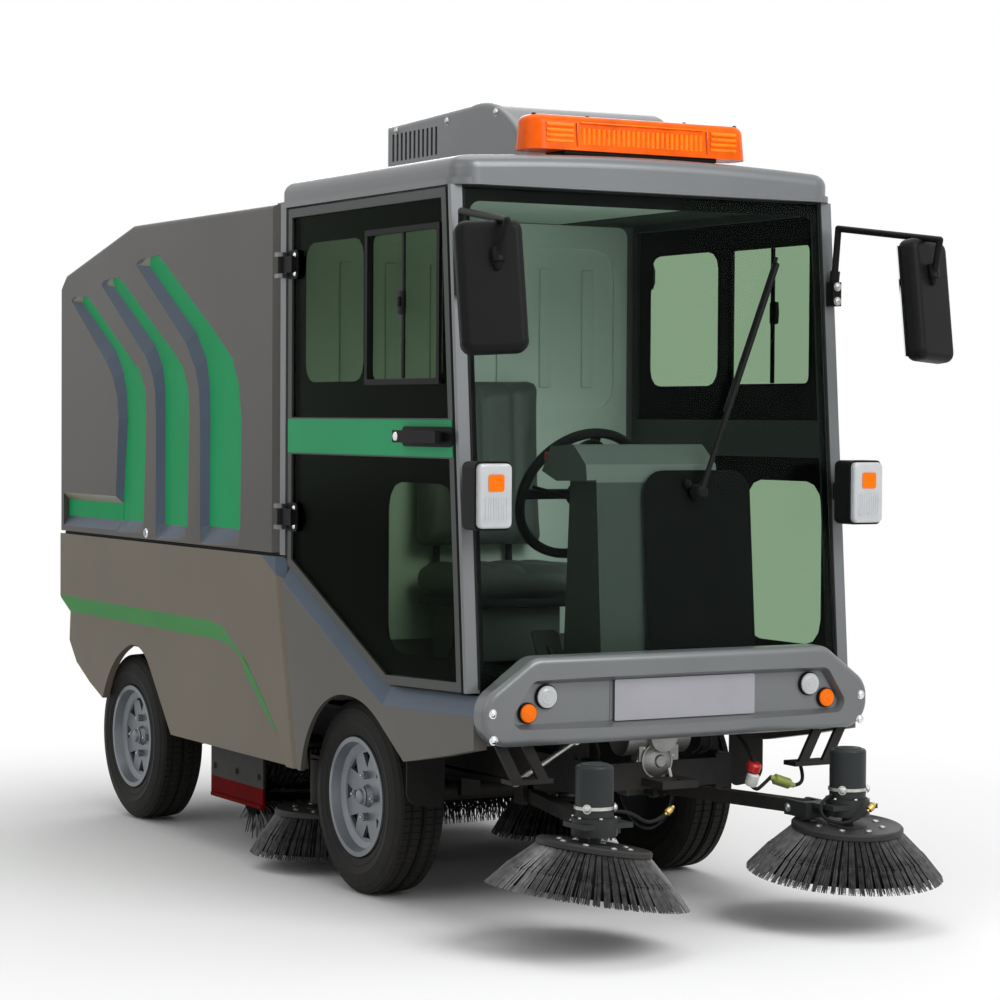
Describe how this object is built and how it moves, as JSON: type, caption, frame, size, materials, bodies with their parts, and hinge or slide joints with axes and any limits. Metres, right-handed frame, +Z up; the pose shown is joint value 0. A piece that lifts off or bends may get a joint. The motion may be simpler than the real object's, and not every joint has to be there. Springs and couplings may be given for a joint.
{
  "type": "road sweeper",
  "caption": "Compact electric road sweeper with a glazed single-seat cab, tipping hopper box, lowering front side brushes, side brushes amidships and a roller broom.",
  "frame": {"origin": "ground point under the middle of the overall length and width", "axes": "+Z up, -Y towards the front of the vehicle, +X towards the vehicle's left side"},
  "size_m": [1.4692, 3.4261, 2.1505],
  "materials": {
    "body_grey": "satin metallic",
    "cab_grey": "satin metallic",
    "door_frame": "brushed",
    "dark_glass": "tinted",
    "black_plastic": "grained",
    "chassis_black": "satin",
    "cast_grey": "as cast",
    "tyre": "moulded rubber",
    "wheel_steel": "satin silver",
    "bristle": "bristle",
    "housing_red": "satin",
    "amber": "clear moulded",
    "clear_lens": "clear moulded",
    "red_lens": "clear moulded",
    "mirror": "silvered",
    "seat_vinyl": "vinyl",
    "interior": "moulded",
    "battery": "moulded"
  },
  "bodies": {
    "chassis": {"chassis_frame": "chassis_black", "front_axle": "chassis_black", "rear_axle": "chassis_black", "leaf_springs": "chassis_black", "cab_floor": "chassis_black", "front_fenders": "body_grey", "front_bumper": "cab_grey", "cab_pillars": "cab_grey", "windscreen": "dark_glass", "cab_roof": "cab_grey", "cab_back_wall": "cab_grey", "dashboard": "interior", "seat": "seat_vinyl", "battery_pack": "battery", "rear_deck": "chassis_black", "rear_body_sides": "body_grey", "tail_panel": "body_grey", "air_conditioner": "cab_grey", "light_bar": "amber", "mirrors": "black_plastic", "mirror_glass": "mirror", "lamp_pods": "black_plastic", "clear_lamps": "clear_lens", "amber_lamps": "amber", "tail_lamps": "red_lens", "wiper": "black_plastic", "broom_housing": "housing_red", "gear_unit": "cast_grey", "mid_brackets": "chassis_black"},
    "steering_wheel": {"steering_wheel": "black_plastic"},
    "tie_rod": {"tie_rod": "chassis_black"},
    "hopper": {"hopper_box": "body_grey"},
    "tailgate": {"tailgate": "body_grey"},
    "main_broom": {"main_broom": "bristle"},
    "knuckle_right": {"knuckle_right": "cast_grey"},
    "door_right": {"door_right": "door_frame", "door_glass_right": "dark_glass", "door_fittings_right": "black_plastic"},
    "front_arm_right": {"front_arm_right": "chassis_black"},
    "front_head_right": {"front_head_right": "chassis_black"},
    "front_brush_right": {"front_brush_right": "bristle"},
    "mid_brush_right": {"mid_brush_right": "bristle"},
    "knuckle_left": {"knuckle_left": "cast_grey"},
    "door_left": {"door_left": "door_frame", "door_glass_left": "dark_glass", "door_fittings_left": "black_plastic"},
    "front_arm_left": {"front_arm_left": "chassis_black"},
    "front_head_left": {"front_head_left": "chassis_black"},
    "front_brush_left": {"front_brush_left": "bristle"},
    "mid_brush_left": {"mid_brush_left": "bristle"},
    "wheel_front_right": {"tyre_front_right": "tyre", "wheel_front_right": "wheel_steel"},
    "wheel_front_left": {"tyre_front_left": "tyre", "wheel_front_left": "wheel_steel"},
    "wheel_rear_right": {"tyre_rear_right": "tyre", "wheel_rear_right": "wheel_steel"},
    "wheel_rear_left": {"tyre_rear_left": "tyre", "wheel_rear_left": "wheel_steel"}
  },
  "joints": [
    {"name": "steer_left", "type": "hinge", "parent": "chassis", "child": "knuckle_left", "pos_m": [0.35, -0.455, 0.265], "axis": [0, 0, 1], "range_deg": [-30, 30]},
    {"name": "steer_right", "type": "hinge", "parent": "chassis", "child": "knuckle_right", "pos_m": [-0.35, -0.455, 0.265], "axis": [0, 0, 1], "range_deg": [-30, 30]},
    {"name": "tie_rod_swing", "type": "hinge", "parent": "knuckle_left", "child": "tie_rod", "pos_m": [0.35, -0.34, 0.25], "axis": [0, 0, 1], "range_deg": [-30, 30]},
    {"name": "steering_wheel_turn", "type": "hinge", "parent": "chassis", "child": "steering_wheel", "pos_m": [0, -0.747, 1.094], "axis": [0, 0.8944, 0.4472], "range_deg": [-240, 240]},
    {"name": "roll_front_right", "type": "hinge", "parent": "knuckle_right", "child": "wheel_front_right", "pos_m": [-0.4625, -0.455, 0.265], "axis": [1, 0, 0], "continuous": true},
    {"name": "roll_front_left", "type": "hinge", "parent": "knuckle_left", "child": "wheel_front_left", "pos_m": [0.4625, -0.455, 0.265], "axis": [1, 0, 0], "continuous": true},
    {"name": "roll_rear_right", "type": "hinge", "parent": "chassis", "child": "wheel_rear_right", "pos_m": [-0.4625, 1.17, 0.265], "axis": [1, 0, 0], "continuous": true},
    {"name": "roll_rear_left", "type": "hinge", "parent": "chassis", "child": "wheel_rear_left", "pos_m": [0.4625, 1.17, 0.265], "axis": [1, 0, 0], "continuous": true},
    {"name": "door_swing_right", "type": "hinge", "parent": "chassis", "child": "door_right", "pos_m": [-0.598, -0.103, 1.3], "axis": [0, 0, -1], "range_deg": [0, 78]},
    {"name": "door_swing_left", "type": "hinge", "parent": "chassis", "child": "door_left", "pos_m": [0.598, -0.103, 1.3], "axis": [0, 0, 1], "range_deg": [0, 78]},
    {"name": "hopper_tip", "type": "hinge", "parent": "chassis", "child": "hopper", "pos_m": [0, 1.703, 0.905], "axis": [-1, 0, 0], "range_deg": [0, 48]},
    {"name": "tailgate_swing", "type": "hinge", "parent": "hopper", "child": "tailgate", "pos_m": [0, 1.692, 1.722], "axis": [1, 0, 0], "range_deg": [0, 80]},
    {"name": "front_arm_lower_right", "type": "hinge", "parent": "chassis", "child": "front_arm_right", "pos_m": [-0.205, -0.815, 0.295], "axis": [1, 0, 0], "range_deg": [0, 9]},
    {"name": "front_head_level_right", "type": "hinge", "parent": "front_arm_right", "child": "front_head_right", "pos_m": [-0.322, -1.335, 0.295], "axis": [1, 0, 0], "range_deg": [-9, 0]},
    {"name": "front_brush_spin_right", "type": "hinge", "parent": "front_head_right", "child": "front_brush_right", "pos_m": [-0.381, -1.455, 0.253], "axis": [0.1564, 0, 0.9877], "continuous": true},
    {"name": "mid_brush_spin_right", "type": "hinge", "parent": "chassis", "child": "mid_brush_right", "pos_m": [-0.4, 0.015, 0.1], "axis": [0, 0, 1], "continuous": true},
    {"name": "front_arm_lower_left", "type": "hinge", "parent": "chassis", "child": "front_arm_left", "pos_m": [0.205, -0.815, 0.295], "axis": [1, 0, 0], "range_deg": [0, 11]},
    {"name": "front_head_level_left", "type": "hinge", "parent": "front_arm_left", "child": "front_head_left", "pos_m": [0.322, -1.335, 0.295], "axis": [1, 0, 0], "range_deg": [-11, 0]},
    {"name": "front_brush_spin_left", "type": "hinge", "parent": "front_head_left", "child": "front_brush_left", "pos_m": [0.381, -1.455, 0.253], "axis": [0, -0.0872, 0.9962], "continuous": true},
    {"name": "mid_brush_spin_left", "type": "hinge", "parent": "chassis", "child": "mid_brush_left", "pos_m": [0.4, 0.015, 0.1], "axis": [0, 0, 1], "continuous": true},
    {"name": "main_broom_spin", "type": "hinge", "parent": "chassis", "child": "main_broom", "pos_m": [0, 0.377, 0.165], "axis": [1, 0, 0], "continuous": true}
  ],
  "couplings": [
    {"joint": "steer_right", "follows": "steer_left", "ratio": 1},
    {"joint": "tie_rod_swing", "follows": "steer_left", "ratio": -1},
    {"joint": "steering_wheel_turn", "follows": "steer_left", "ratio": 8},
    {"joint": "front_head_level_right", "follows": "front_arm_lower_right", "ratio": -1},
    {"joint": "front_head_level_left", "follows": "front_arm_lower_left", "ratio": -1}
  ]
}
